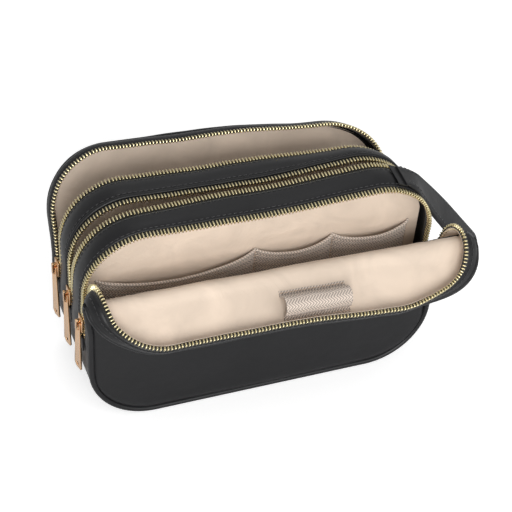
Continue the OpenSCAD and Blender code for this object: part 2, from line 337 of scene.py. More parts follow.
def surface(name, rows, closed=False):
    """A quad sheet through rows of points in millimetres, with its UV map in millimetres."""
    mesh = bpy.data.meshes.new(name)
    wide = len(rows[0])
    verts = [p * MM for row in rows for p in row]
    last = len(rows) if closed else len(rows) - 1
    faces = []
    for i in range(last):
        a, b = i * wide, (i + 1) % len(rows) * wide
        faces += [(a + j, a + j + 1, b + j + 1, b + j) for j in range(wide - 1)]
    mesh.from_pydata(verts, [], faces)
    across = [0.0]
    for a, b in zip(rows[len(rows) // 2], rows[len(rows) // 2][1:]):
        across.append(across[-1] + (b - a).length)
    along = [0.0]
    for a, b in zip(rows, rows[1:] + rows[:1]):
        along.append(along[-1] + (b[wide // 2] - a[wide // 2]).length)
    layer = mesh.uv_layers.new(name="UVMap")
    for face in mesh.polygons:
        row = min(v // wide for v in face.vertices)
        if closed and max(v // wide for v in face.vertices) == len(rows) - 1 and row == 0:
            row = len(rows) - 1
        for corner, v in zip(face.loop_indices, face.vertices):
            up = row if v // wide == row else row + 1
            layer.data[corner].uv = (along[up], across[v % wide])
    piece = bpy.data.objects.new(name, mesh)
    bpy.context.collection.objects.link(piece)
    return piece


def apply_modifiers(piece):
    activate(piece)
    for modifier in list(piece.modifiers):
        bpy.ops.object.modifier_apply(modifier=modifier.name)


def thicken(piece, mm, offset=-1.0):
    """Gives a sheet its thickness, away from its outer face."""
    solid = piece.modifiers.new("Wall", "SOLIDIFY")
    solid.thickness = mm * MM
    solid.offset = offset
    apply_modifiers(piece)


def outward(piece):
    """Recalculates the normals of a closed shape so that they point out."""
    activate(piece)
    bpy.ops.object.mode_set(mode="EDIT")
    bpy.ops.mesh.select_all(action="SELECT")
    bpy.ops.mesh.normals_make_consistent(inside=False)
    bpy.ops.object.mode_set(mode="OBJECT")


def face_towards(piece, direction):
    """Flips a sheet whose faces look the other way from a direction."""
    if sum(f.normal.dot(direction) for f in piece.data.polygons) < 0:
        piece.data.flip_normals()


def radial(point):
    """Outward direction on the shell at a point in millimetres."""
    p = sizes()
    core = Vector((
        max(-p.width / 2 + p.corner, min(p.width / 2 - p.corner, point.x)), point.y,
        max(p.corner, min(p.height - p.corner, point.z))))
    away = point - core
    return away.normalized() if away.length > 1e-6 else Vector((0, 0, 1))


def dress(piece, look, moves, nodes=(), angle=50):
    """Material, shading, and the hiding of the parts that the piece stands for; a piece whose
    moves is a body is hung on that body.
    moves may also be the two bodies that cloth joins and the span over which it passes from one to
    the other: these are not used, and the piece is only left in place."""
    piece.data.materials.clear()
    piece.data.materials.append(material_of(look))
    activate(piece)
    bpy.ops.object.shade_smooth_by_angle(angle=math.radians(angle))
    if nodes:
        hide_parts(*nodes)
    if isinstance(moves, str):
        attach(piece, moves)
    else:
        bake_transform(piece)
    return piece


def close_tube(piece, sides):
    """Welds the seam along a tube, closes its ends and turns its faces outwards."""
    mesh = bmesh.new()
    mesh.from_mesh(piece.data)
    bmesh.ops.remove_doubles(mesh, verts=mesh.verts, dist=1e-6)
    bmesh.ops.holes_fill(mesh, edges=[e for e in mesh.edges if e.is_boundary], sides=sides)
    bmesh.ops.recalc_face_normals(mesh, faces=mesh.faces)
    mesh.to_mesh(piece.data)
    mesh.free()


def sweep_tube(name, centres, radius, sides=12):
    """A round cord along points in millimetres."""
    rows = []
    count = len(centres)
    for i, c in enumerate(centres):
        ahead = centres[min(i + 1, count - 1)] - centres[max(i - 1, 0)]
        ahead.normalize()
        side = ahead.cross(Vector((0, 1, 0)))
        if side.length < 0.2:
            side = ahead.cross(Vector((0, 0, 1)))
        side.normalize()
        up = side.cross(ahead)
        rows.append([
            c + radius * (side * math.cos(a) + up * math.sin(a))
            for a in (2 * math.pi * k / sides for k in range(sides + 1))])
    piece = surface(name, rows)
    close_tube(piece, sides)
    return piece


def joined(name, template, frames):
    """One mesh made of a copy of the template's mesh at each frame, a 4x4 matrix in metres."""
    out = bmesh.new()
    for place in frames:
        copy = template.data.copy()
        copy.transform(place)
        out.from_mesh(copy)
        bpy.data.meshes.remove(copy)
    mesh = bpy.data.meshes.new(name)
    out.to_mesh(mesh)
    out.free()
    piece = bpy.data.objects.new(name, mesh)
    bpy.context.collection.objects.link(piece)
    return piece


def frame_at(origin, x_axis, z_axis):
    """A 4x4 in metres whose X runs along x_axis and whose Z runs near z_axis."""
    x = x_axis.normalized()
    z = (z_axis - x * z_axis.dot(x)).normalized()
    y = z.cross(x)
    m = Matrix((x, y, z)).transposed().to_4x4()
    m.translation = origin * MM
    return m


def shape_primitive(name):
    piece = bpy.context.object
    piece.name = name
    piece.data.name = name
    return piece


def select_faces(piece, test):
    """Selects, in edit mode, the faces whose centre and normal pass the test."""
    mesh = bmesh.from_edit_mesh(piece.data)
    bpy.context.tool_settings.mesh_select_mode = (False, False, True)
    for face in mesh.faces:
        face.select_set(test(face.calc_center_median() / MM, face.normal))
    mesh.select_flush_mode()
    bmesh.update_edit_mesh(piece.data)


def block(name, low, high):
    """A box primitive between two corners in millimetres, its place in its mesh."""
    deselect()
    low, high = Vector(low), Vector(high)
    bpy.ops.mesh.primitive_cube_add(size=1, location=(low + high) / 2 * MM)
    piece = shape_primitive(name)
    piece.scale = (high - low) * MM
    bpy.ops.object.transform_apply(location=True, rotation=True, scale=True)
    return piece


def inset_faces(piece, test, mm, depth):
    """Draws in the faces that pass the test and lifts them by depth, both in millimetres."""
    activate(piece)
    bpy.ops.object.mode_set(mode="EDIT")
    select_faces(piece, test)
    bpy.ops.mesh.inset(thickness=mm * MM, depth=depth * MM)
    bpy.ops.object.mode_set(mode="OBJECT")


def resize_foot(piece, share):
    """Narrows or widens the downward face of a block along Y."""
    activate(piece)
    bpy.ops.object.mode_set(mode="EDIT")
    select_faces(piece, lambda c, n: n.z < -0.9)
    bpy.ops.transform.resize(value=(1, share, 1), center_override=(0, 0, 0))
    bpy.ops.object.mode_set(mode="OBJECT")


def bevel_all(piece, mm, segments=2):
    modifier = piece.modifiers.new("Edge", "BEVEL")
    modifier.width = mm * MM
    modifier.segments = segments
    modifier.limit_method = "ANGLE"
    modifier.angle_limit = math.radians(30)
    apply_modifiers(piece)


def cut_away(piece, tool):
    modifier = piece.modifiers.new("Cut", "BOOLEAN")
    modifier.operation = "DIFFERENCE"
    modifier.solver = "EXACT"
    modifier.object = tool
    apply_modifiers(piece)
    bpy.data.objects.remove(tool)


def add_to(piece, *others):
    activate(piece)
    for other in others:
        other.select_set(True)
    bpy.ops.object.join()
    return piece


# ---- Materials ----

def linear(code):
    """sRGB hex to linear RGBA."""
    parts = [int(code[i:i + 2], 16) / 255 for i in (0, 2, 4)]
    return tuple(c / 12.92 if c <= 0.04045 else ((c + 0.055) / 1.055) ** 2.4 for c in parts) + (1,)


def add_node(material, kind, links=(), **settings):
    """Adds a node; a setting that is a socket's name sets that socket, the rest are properties.
    links are (output socket of another node, this node's input name or number)."""
    node = material.node_tree.nodes.new(kind)
    for key, value in settings.items():
        title = key.replace("_", " ")
        names = [s.name for s in node.inputs]
        if hasattr(node, key):
            setattr(node, key, value)
        elif title in names:
            node.inputs[title].default_value = value
        else:
            raise KeyError(f"{kind} has no {key}")
    for source, target in links:
        material.node_tree.links.new(source, node.inputs[target])
    return node


def new_material(name, colour, **settings):
    """A principled material, its settings on the shader's own sockets."""
    material = bpy.data.materials.new(name)
    material.use_nodes = True
    shader = material.node_tree.nodes["Principled BSDF"]
    shader.inputs["Base Color"].default_value = linear(colour)
    for key, value in settings.items():
        shader.inputs[key.replace("_", " ")].default_value = value
    material.diffuse_color = linear(colour)
    return material, shader


def shade_of(code, factor):
    rgba = linear(code)
    return tuple(min(1.0, c * factor) for c in rgba[:3]) + (1,)


def link(material, source, target):
    material.node_tree.links.new(source, target)


def maths(material, operation, *values):
    """A sum on sockets and plain numbers."""
    node = add_node(material, "ShaderNodeMath", operation=operation)
    for slot, value in zip(node.inputs, values):
        if isinstance(value, float):
            slot.default_value = value
        else:
            link(material, value, slot)
    return node.outputs[0]


def coordinates(material, kind):
    return add_node(material, "ShaderNodeTexCoord").outputs[kind]


def mottle(material, mm, **settings):
    """Noise in the piece's own place, its patches so many millimetres across."""
    place = coordinates(material, "Object")
    node = add_node(material, "ShaderNodeTexNoise", [(place, "Vector")], Scale=1 / (mm * MM),
                    **settings)
    return node.outputs["Fac"]


def tint(material, shader, source, code, dark, light, low=0.0, high=1.0):
    """Colours the shader from a darker shade of one colour, at low, to a lighter, at high."""
    ramp = add_node(material, "ShaderNodeValToRGB", [(source, "Fac")])
    first, last = ramp.color_ramp.elements
    first.color, first.position = shade_of(code, dark), low
    last.color, last.position = shade_of(code, light), high
    link(material, ramp.outputs["Color"], shader.inputs["Base Color"])


def roughen(material, shader, source, low, high):
    """Varies the roughness between two values."""
    rough = add_node(material, "ShaderNodeMapRange", [(source, "Value")], To_Min=low,
                     To_Max=high)
    link(material, rough.outputs["Result"], shader.inputs["Roughness"])


def emboss(material, shader, *layers):
    """Relief, each layer a height, a strength and a depth in millimetres, lowest first."""
    below = []
    for height, strength, depth in layers:
        bump = add_node(material, "ShaderNodeBump", [(height, "Height")] + below,
                        Strength=strength, Distance=depth * MM)
        below = [(bump.outputs["Normal"], "Normal")]
    link(material, bump.outputs["Normal"], shader.inputs["Normal"])


def threads(material, axis, spacing_mm):
    """Rounded ridges across one UV axis, one thread each; UVs are in millimetres."""
    wave = add_node(material, "ShaderNodeTexWave", [(coordinates(material, "UV"), "Vector")],
                    Scale=math.pi / 10 / spacing_mm, Distortion=0.6, Detail=1.0,
                    Detail_Scale=0.4, bands_direction=axis)
    return wave.outputs["Fac"]


def imitation_leather(code):
    """Polyurethane-coated cloth, embossed and calendered: black, softly shining, with a fine
    pebble grain and slow undulations where the foam behind it gives. The grain is 0.4 mm on the
    real one and is drawn at 0.9 mm so that it shows."""
    material, shader = new_material(
        "imitation leather", code, IOR=1.42, Sheen_Weight=0.03, Sheen_Roughness=0.4)
    grain = add_node(material, "ShaderNodeTexVoronoi", [
        (coordinates(material, "Object"), "Vector")], Scale=1 / (0.9 * MM), feature="SMOOTH_F1")
    slow = mottle(material, 40, Detail=3.0)
    tint(material, shader, slow, code, 0.82, 1.22, 0.3, 0.72)
    roughen(material, shader, mottle(material, 1.6, Detail=4.0), 0.36, 0.5)
    emboss(material, shader, (grain.outputs["Distance"], 0.12, 0.2), (slow, 0.35, 4))
    return material


def lining_cloth(code):
    """Woven polyester lining, dyed tan: plain weave with a faint silky sheen, lightly creased.
    Threads are 0.25 mm on the real one and are drawn at 0.7 mm so that they show."""
    material, shader = new_material(
        "polyester lining", code, Roughness=0.62, Sheen_Weight=0.25, Sheen_Roughness=0.35)
    weave = maths(material, "MULTIPLY", threads(material, "X", 0.7), threads(material, "Y", 0.7))
    crease_and_shade = mottle(material, 30, Detail=4.0, Distortion=0.8)
    # The creases' noise also colours the cloth: painted shade in their hollows, painted light on
    # their crests
    tint(material, shader, crease_and_shade, code, 0.86, 1.08, 0.28, 0.7)
    emboss(material, shader, (weave, 0.22, 0.2), (crease_and_shade, 0.4, 3))
    return material


def elastic_webbing(code):
    """Knitted elastic webbing: grey-tan, matt, with a herringbone of slanting cords. The
    cords are 1.2 mm apart on the real one and are drawn at 1.9 mm so that they show."""
    material, shader = new_material(
        "elastic webbing", code, Roughness=0.85, Sheen_Weight=0.2, Sheen_Roughness=0.6)
    parts = add_node(material, "ShaderNodeSeparateXYZ", [(coordinates(material, "UV"), "Vector")])
    slant = maths(material, "PINGPONG", parts.outputs["Y"], 2.4)
    rib = maths(material, "PINGPONG", maths(material, "ADD", slant, parts.outputs["X"]), 0.95)
    tint(material, shader, rib, code, 0.5, 1.25, 0.15, 0.75)
    emboss(material, shader, (maths(material, "MULTIPLY_ADD", slant, rib, 0.15), 0.6, 0.4))
    return material


def woven_tape(code):
    """Zip tape, woven polyester twill, dyed black and heat-set: flat, matt, finely ribbed.
    The twill is 0.3 mm on the real one and is drawn at 0.6 mm so that it shows."""
    material, shader = new_material(
        "zip tape", code, Roughness=0.8, Sheen_Weight=0.15, Sheen_Roughness=0.5)
    twill = threads(material, "DIAGONAL", 0.6)
    tint(material, shader, twill, code, 0.6, 1.5)
    emboss(material, shader, (twill, 0.4, 0.2))
    return material


def plated_metal(name, code, roughness, wear):
    """Die-cast zinc or stamped brass, polished and plated: bright, with faint handling marks
    and a slightly duller bloom here and there."""
    material, shader = new_material(name, code, Metallic=1.0)
    bloom = mottle(material, 4, Detail=3.0)
    tint(material, shader, bloom, code, 0.86, 1.06)
    roughen(material, shader, bloom, roughness - wear, roughness + wear)
    emboss(material, shader, (mottle(material, 0.6, Detail=5.0), 0.08, 0.1))
    return material


def sewing_thread(name, code):
    """Bonded polyester thread, twisted: slightly glossy, with a twist every 0.4 mm."""
    material, shader = new_material(name, code, Roughness=0.55, Sheen_Weight=0.2)
    twist = mottle(material, 0.4)
    tint(material, shader, twist, code, 0.7, 1.25)
    emboss(material, shader, (twist, 0.3, 0.1))
    return material


def studio_paint(glow):
    """Matt white wall paint with the faintest mottle; its glow is seen by the camera only."""
    material, shader = new_material(
        "studio paint", "f6f6f6", Roughness=0.9, Emission_Color=(1, 1, 1, 1))
    tint(material, shader, mottle(material, 500), "f8f8f8", 0.99, 1.01)
    seen = add_node(material, "ShaderNodeLightPath").outputs["Is Camera Ray"]
    link(material, maths(material, "MULTIPLY", seen, glow), shader.inputs["Emission Strength"])
    return material


MATERIALS = {}


def material_of(name):
    if not MATERIALS:
        hues = bpy.context.scene.pouch_colours
        MATERIALS.update(
            leather=imitation_leather(hues.leather),
            lining=lining_cloth(hues.lining),
            elastic=elastic_webbing(hues.elastic),
            tape=woven_tape(hues.tape),
            teeth=plated_metal("plated brass", hues.teeth, 0.27, 0.05),
            pulls=plated_metal("plated zinc", hues.pulls, 0.22, 0.06),
            dark_thread=sewing_thread("black thread", "1a1a1c"),
            tan_thread=sewing_thread("tan thread", "c7ae97"),
        )
    return MATERIALS[name]


# ---- The fold of the front, and the flare of its sides ----

EAR_OVER_FOLD = 6.0  # height above the fold where the ears stand out most, mm
EAR_REACH = 34.0  # height over which they fade out from there, mm
EAR_EDGE = (40.0, 4.0)  # distances from the side between which they grow, mm
EAR_SIDEWAYS = 0.6  # least share of an ear's push that goes sideways
EAR_DEEP = 14.0  # depth over which the piping's push passes into the teeth's, mm
TUCK_FROM = 4.0  # depth behind the hinge from which the ends draw in, mm
FOLD_REACH = (3.0, 1.1)  # half height of the turning cloth at the hinge, and its growth per depth
FOLD_SPAN = 6.0  # distance from the fold to each end of the blend, mm


def flare(point):
    """Pushes the cloth out near the ends of the fold, where it has to give, before it turns."""
    p = sizes()
    side = int(point.x > 0)
    above = point.z - fold_z(point.x) - EAR_OVER_FOLD
    near = math.cos(math.pi / 2 * min(1.0, abs(above) / EAR_REACH)) ** 1.5
    near *= rise(abs(point.x), *(p.width / 2 - edge for edge in EAR_EDGE))
    behind = point.y - HINGE_Y
    depth = min(1.0, max(0.0, behind / EAR_DEEP))
    push = p.ear_piping[side] * (1 - depth) + p.ear_teeth[side] * depth
    away = radial(point)
    away.x = math.copysign(max(EAR_SIDEWAYS, abs(away.x)), point.x)
    drawn_in = p.ear_tuck[side] * near * max(0.0, behind - TUCK_FROM)
    return point + away * push * near - Vector((0, drawn_in, 0))


def fan(point):
    """From the closed place to rest for cloth that crosses the front fold."""
    reach = FOLD_REACH[0] + FOLD_REACH[1] * abs(point.y - HINGE_Y)
    share = rise(point.z - fold_z(point.x), -reach, reach)
    return place_flap(flare(point), share)


def flared_front(point):
    return place_front(flare(point))


def flared_flap(point):
    return place_flap(flare(point))


def fold_blend():
    """The two bodies and the span over which cloth turns with the flap."""
    centre = FRONT_TURN @ Vector((0, HINGE_Y, fold_z(0)))
    back = place_front_stiff(Vector((0, HINGE_Y + FOLD_SPAN, fold_z(0) - FOLD_SPAN)))
    ahead = place_flap(Vector((0, HINGE_Y + FOLD_SPAN, fold_z(0) + FOLD_SPAN)))
    half = (ahead - back) / 2
    return "front_section", "front_flap", (centre - half) * MM, (centre + half) * MM


def bend_blend(body, heights):
    low, high = heights
    return "pouch_body", body, (0, 0, low * MM), (0, 0, high * MM)


def front_blend():
    return bend_blend("front_section", FRONT_BEND)


def back_blend():
    return bend_blend("back_section", BACK_BEND)


# ---- Cloth shapes ----

FRONT, BACK = Vector((0, -1, 0)), Vector((0, 1, 0))
COLUMNS = 60  # steps across a panel
BULGE_Z, BULGE_TALL = 60.0, 74.0  # height of a panel's fullest place, and its reach, mm
MARGIN = 3.5  # width over which a panel dips into its seam, mm


def spread(y0, y1, count, inset):
    """A strip's flat cross-section: count even steps of (y, inset)."""
    return [(y0 + (y1 - y0) * k / count, inset) for k in range(count + 1)]


def band_profile(y0, y1, dome):
    """Cross-section of a padded band with its edges turned under."""
    across = [(y0, 1.5), (y0, 0.5), (y0 + 0.5, 0.05)]
    inner = 6
    for k in range(1, inner):
        t = k / inner
        across.append((y0 + 0.5 + (y1 - y0 - 1.0) * t, -dome * math.sin(math.pi * t)))
    return across + [(y1 - 0.5, 0.05), (y1, 0.5), (y1, 1.5)]


def top_run(z, spacing=2.4):
    """The way up the left side from height z, along the top and down the right side."""
    return steps(rim_left(z), rim_right(z), spacing)


def foot_run(z, spacing=3.0):
    """The way down the right side, along the bottom and up the left side to height z."""
    return steps(rim_right(z), perimeter() + rim_left(z), spacing)


def edge_z(x, inset, top):
    """Height of the outline over or under a point at x, set in by inset."""
    p = sizes()
    r = p.corner - inset
    past = max(0.0, abs(x) - (p.width / 2 - p.corner))
    rounding = r - math.sqrt(max(0.0, r * r - past * past))
    return p.height - inset - rounding if top else inset + rounding


def under(inset):
    return lambda x: edge_z(x, inset, False)


def over(inset, share=1.0):
    """Upper edge of a panel set in by inset, with a share of the sag."""
    return lambda x: edge_z(x, inset, True) - sizes().sag * share * middle(x)


def columns(inset, count):
    half = sizes().width / 2 - inset
    return [half * math.sin(math.pi / 2 * (2 * i / count - 1)) for i in range(count + 1)]


def panel_rows(y, inset, low, high, place, tall=24, bulge=0.0, dip=0.0):
    """Columns of points of a flat panel; low and high give its ends at x, bulge is along -Y.
    dip sinks the margin along +Y, into the piped seam."""
    rows = []
    half = sizes().width / 2 - inset
    for x in columns(inset, COLUMNS):
        z0, z1 = low(x), high(x)
        column = []
        for j in range(tall + 1):
            z = z0 + (z1 - z0) * (1 - math.cos(math.pi * j / tall)) / 2
            margin = min(half - abs(x), z - edge_z(x, inset, False), edge_z(x, inset, True) - z)
            full = (1 - (x / half) ** 2) ** 0.5 if abs(x) < half else 0.0
            full *= max(0.0, 1 - ((z - BULGE_Z) / BULGE_TALL) ** 2) ** 0.5
            out = bulge + wave(x, z, (34, 26), y / 9, 0.8) + wave(x, z, (13, 15), y / 5, 0.25)
            deep = y - out * full + dip * rise(margin, MARGIN, 0.0)
            column.append(place(Vector((x, deep, z - slump(x, y, z)))))
        rows.append(column)
    return rows


def stitch_template():
    """One stitch: a short plump capsule lying along X."""
    deselect()
    bpy.ops.mesh.primitive_uv_sphere_add(segments=6, ring_count=4, radius=0.5)
    piece = shape_primitive("stitch template")
    piece.rotation_euler = (0, math.pi / 2, 0)
    bpy.ops.object.transform_apply(location=False, rotation=True, scale=False)
    piece.scale = (2.7 * MM, 0.62 * MM, 0.5 * MM)
    bpy.ops.object.transform_apply(location=False, rotation=False, scale=True)
    return piece


def seam(name, path, outs, thread, moves, pitch=3.5):
    """Stitches along a path in millimetres; outs are the directions out of the cloth."""
    frames = []
    left = pitch / 2
    for a, b, out in zip(path, path[1:], outs):
        step = b - a
        length = step.length
        while left < length:
            frames.append(frame_at(a + step * (left / length) + out * 0.06, step, out))
            left += pitch
        left -= length
    template = stitch_template()
    piece = joined(name, template, frames)
    bpy.data.objects.remove(template)
    return dress(piece, thread, moves)


def rim_seam(name, s_values, y, inset, place, moves):
    """Black stitches that run round the outline at one depth."""
    path = [place(shell_point(s, y, inset)) for s in s_values]
    outs = [(place(shell_point(s, y, inset - 1.0)) - p).normalized()
            for s, p in zip(s_values, path)]
    return seam(name, path, outs, "dark_thread", moves)


def walled(piece, facing, wall, look, moves, nodes):
    """Turns a sheet over if facing is negative, thickens it inwards and dresses it."""
    if facing < 0:
        piece.data.flip_normals()
    thicken(piece, wall)
    outward(piece)
    return dress(piece, look, moves, nodes)


def strip(name, s_values, across, place, wall, look, moves, nodes=()):
    """A sewn strip round the outline; across is a list of (y, inset) of its outer face."""
    rows = [[place(shell_point(s, y, inset)) for y, inset in across] for s in s_values]
    piece = surface(name, rows)
    half_way, centre = len(s_values) // 2, len(across) // 2
    s, (y, inset) = s_values[half_way], across[centre]
    out = place(shell_point(s, y, inset - 1)) - place(shell_point(s, y, inset))
    face = piece.data.polygons[half_way * (len(across) - 1) + centre]
    return walled(piece, face.normal.dot(out), wall, look, moves, nodes)


def panel(name, rows, wall, towards, look, moves, nodes=()):
    """A flat panel whose outer face looks along towards; its thickness goes the other way."""
    piece = surface(name, rows)
    total = sum((f.normal for f in piece.data.polygons), Vector())
    return walled(piece, total.dot(towards), wall, look, moves, nodes)


def tube(name, centres, radius, look, moves, nodes=(), sides=12):
    """A piped edge or a rolled hem: a round tube along points in millimetres."""
    return dress(sweep_tube(name, centres, radius, sides), look, moves, nodes)


class Builder:
    """What every operator of this add-on shares."""

    bl_options = {"REGISTER", "UNDO"}

    def execute(self, context):
        self.build()
        return {"FINISHED"}


class POUCH_OT_base(Builder, bpy.types.Operator):
    """Lower half of the body: gusset, its lining and the tabs that close the zips' ends."""

    bl_idname = "pouch.base"
    bl_label = "Base"

    TAB_HALF, TAB_TALL, TAB_WALL = 5.2, 10.0, 1.1  # half width, height and thickness, mm
    TAB_OVER = 1.0  # how far a tab reaches up past the end of its zip, mm

    def build(self):
        p = sizes()
        y0, y1 = GUSSET_LOW.y, GUSSET_HIGH.y
        run = foot_run(p.split)
        strip("base-gusset", run, spread(y0, y1, 16, 0.0), place_root, p.wall, "leather",
              "pouch_body", ["base_gusset"])
        lining = strip("base-lining", run, spread(y0, y1, 16, p.wall + 0.3), place_root, 0.5,
                       "lining", "pouch_body", ["base_lining"])
        self.tabs()

    def tabs(self):
        tabs = add_to(*(self.tab(side, y) for side in (-1, 1)
                        for y in (FRONT_ZIP_Y, MID_ZIP_Y, BACK_ZIP_Y)))
        tabs.name = "zip-end-tabs"
        dress(tabs, "leather", "pouch_body", ["zip_end_tabs"])

    def tab(self, side, y):
        x, top = side * (sizes().width / 2 + 1.0), sizes().split + self.TAB_OVER
        tab = block("tab", (x - self.TAB_WALL / 2, y - self.TAB_HALF, top - self.TAB_TALL),
                    (x + self.TAB_WALL / 2, y + self.TAB_HALF, top))
        inset_faces(tab, lambda c, n: n.x * side > 0.9, 1.3, 0.25)
        bevel_all(tab, 0.35)
        return tab


class POUCH_OT_panels(Builder, bpy.types.Operator):
    """Front and back panels, and the piped seams round them."""

    bl_idname = "pouch.panels"
    bl_label = "Panels and piping"

    def build(self):
        p = sizes()
        inset = PANEL_INSET
        front = panel_rows(FRONT_Y + 0.6, inset, under(inset), lambda x: fold_z(x) + FOLD_LAP,
                           flared_front, bulge=1.6, dip=1.5)
        panel("front-panel", front, p.wall, FRONT, "leather", front_blend(),
              ["front_panel_lower", "front_panel_middle"])
        back = panel_rows(BACK_Y - 0.6, inset, under(inset), over(inset), place_back, tall=34,
                          bulge=-1.6, dip=-1.5)
        panel("back-panel", back, p.wall, BACK, "leather", back_blend(),
              ["back_panel_lower", "back_panel_upper"])
        start = rim_right(fold_z(p.width / 2) - 2)
        end = perimeter() + rim_left(fold_z(-p.width / 2) - 2)
        self.piping("front-piping", steps(start, end, 2.2), FRONT_Y + PIPING, flared_front,
                    front_blend(), ["front_piping_lower", "front_piping_middle"])
        start = rim_right(p.height / 2)
        self.piping("back-piping", steps(start, perimeter() + start, 2.4), BACK_Y - PIPING,
                    place_back, back_blend(), ["back_piping_lower", "back_piping_upper"])

    def piping(self, name, run, y, place, moves, nodes):
        centres = [place(shell_point(s, y, PIPING_INSET)) for s in run]
        tube(name, centres, PIPING, "leather", moves, nodes)


class POUCH_OT_bands(Builder, bpy.types.Operator):
    """The three padded bands over the top and sides, with their top-stitching."""

    bl_idname = "pouch.bands"
    bl_label = "Bands"

    LAP = 8.0  # how far a band's foot reaches down over the gusset, mm
    LIFT = 0.9  # how far the foot stands out over the gusset, mm
    DOME, WALL = 0.9, 1.4  # rise of the padding at mid width, and thickness, mm
    STITCH_IN, STITCH_OUT = 1.7, 0.32  # from a band's edge, and out of its face, mm
    THIN_PIPING = 1.35  # radius, mm

    def build(self):
        self.band("front-band", FRONT_ZIP_Y + BAND_GAP, MID_ZIP_Y - BAND_GAP, place_front,
                  front_blend(), ["front_band"])
        self.band("middle-band", MID_ZIP_Y + BAND_GAP + 1.8, BACK_ZIP_Y - BAND_GAP, place_root,
                  "pouch_body", ["mid_band"])
        self.band("back-band", BACK_ZIP_Y + BAND_GAP, BACK_Y - 3.4, place_back, back_blend(),
                  ["back_band"])
        y = MID_ZIP_Y + BAND_GAP + 1.2
        place = self.lapped(place_root)
        centres = [place(shell_point(s, y, 0.5)) for s in top_run(sizes().split - self.LAP)]
        tube("middle-piping", centres, self.THIN_PIPING, "leather", "pouch_body",
             ["mid_piping"], sides=10)

    def lapped(self, place):
        """Lifts the foot of a band over the gusset that it is sewn on to."""
        def lift(q):
            split = sizes().split
            out = self.LIFT * rise(q.z, split + 10, split)
            return place(q + Vector((math.copysign(out, q.x), 0, 0)))
        return lift

    def band(self, name, y0, y1, place, moves, nodes):
        place = self.lapped(place)
        run = top_run(sizes().split - self.LAP)
        strip(name, run, band_profile(y0, y1, self.DOME), place, self.WALL, "leather", moves,
              nodes)
        for word, y in (("front", y0 + self.STITCH_IN), ("rear", y1 - self.STITCH_IN)):
            rim_seam(f"{name}-{word}-stitching", run, y, -self.STITCH_OUT, place, moves)


class POUCH_OT_zips(Builder, bpy.types.Operator):
    """Six rows of zip teeth on their tapes."""

    bl_idname = "pouch.zips"
    bl_label = "Zips"

    SINK = 1.1  # from the outline to the middle of the teeth, mm

    def build(self):
        self.row("front-zip-upper", FRONT_ZIP_Y, 1, place_front, front_blend(),
                 ["front_zip_tape_upper", "front_zip_teeth_upper"])
        self.row("front-zip-lower", FRONT_ZIP_Y, -1, fan, fold_blend(),
                 ["front_zip_tape_lower", "front_zip_teeth_lower", "flap_zip_tape",
                  "flap_zip_teeth"])
        self.row("middle-zip-front", MID_ZIP_Y, -1, place_front, front_blend(),
                 ["mid_zip_tape_front", "mid_zip_teeth_front"])
        self.row("middle-zip-rear", MID_ZIP_Y, 1, place_root, "pouch_body",
                 ["mid_zip_tape_rear", "mid_zip_teeth_rear"])
        self.row("back-zip-front", BACK_ZIP_Y, -1, place_root, "pouch_body",
                 ["back_zip_tape_front", "back_zip_teeth_front"])
        self.row("back-zip-rear", BACK_ZIP_Y, 1, place_back, back_blend(),
                 ["back_zip_tape_rear", "back_zip_teeth_rear"])

    def row(self, name, y, side, place, moves, nodes):
        z = zip_sizes()
        run = top_run(sizes().split - 2)
        tape = spread(y + side * (z.half_gap + 0.8), y + side * (BAND_GAP + 1.6), 6, 1.15)
        strip(f"{name}-tape", run, tape, place, 0.7, "tape", moves, nodes)
        tooth = self.tooth()
        centre = y + side * (z.half_gap + z.tooth_long / 2)
        frames = []
        gone, last = z.pitch, None
        for s in steps(run[0] + 1, run[-1] - 1, 0.2):
            here = place(shell_point(s, centre, self.SINK))
            gone += (here - last).length if last else 0.0
            last = here
            if gone < z.pitch:
                continue
            gone -= z.pitch
            along = place(shell_point(s + 1.0, centre, self.SINK)) - here
            out = place(shell_point(s, centre, self.SINK - 1.0)) - here
            frames.append(frame_at(here, along, out))
        teeth = joined(f"{name}-teeth", tooth, frames)
        bpy.data.objects.remove(tooth)
        dress(teeth, "teeth", moves)

    def tooth(self):
        """One tooth: a stamped bar across Y, with its two ends drawn in and rounded."""
        z = zip_sizes()
        half = Vector((z.tooth_wide, z.tooth_long, z.tooth_thick)) / 2
        tooth = block("tooth template", -half, half)
        inset_faces(tooth, lambda c, n: abs(n.y) > 0.9, 0.2, 0.25)
        bevel_all(tooth, 0.16, segments=1)
        return tooth


class POUCH_OT_flap(Builder, bpy.types.Operator):
    """The front that folds down: panel, piped edge and side strip."""

    bl_idname = "pouch.flap"
    bl_label = "Front flap"

    STRIP_WALL, STRIP_DOME = 1.2, 0.35  # thickness of the side strip and its rise, mm

    def build(self):
        p = sizes()
        inset = PANEL_INSET
        rows = panel_rows(FRONT_Y + 0.4, inset, lambda x: fold_z(x) - FOLD_LAP, over(inset),
                          flared_flap, tall=22, bulge=1.4, dip=1.5)
        panel("flap-panel", rows, p.wall, place_flap(FRONT) - place_flap(Vector()), "leather",
              "front_flap", ["flap_panel"])
        run = steps(rim_left(fold_z(-p.width / 2) - 5), rim_right(fold_z(p.width / 2) - 5), 2.2)
        centres = [fan(shell_point(s, FRONT_Y + PIPING, PIPING_INSET)) for s in run]
        tube("flap-piping", centres, PIPING, "leather", fold_blend(), ["flap_piping"])
        run = top_run(p.split - 2)
        y0, y1 = GUSSET_LOW.y - 0.6, FRONT_ZIP_Y - BAND_GAP
        strip("front-strip", run, band_profile(y0, y1, self.STRIP_DOME), fan, self.STRIP_WALL,
              "leather", fold_blend(), ["front_strip", "flap_strip"])
        rim_seam("front-strip-stitching", run, y1 - 1.5, -0.25, fan, fold_blend())


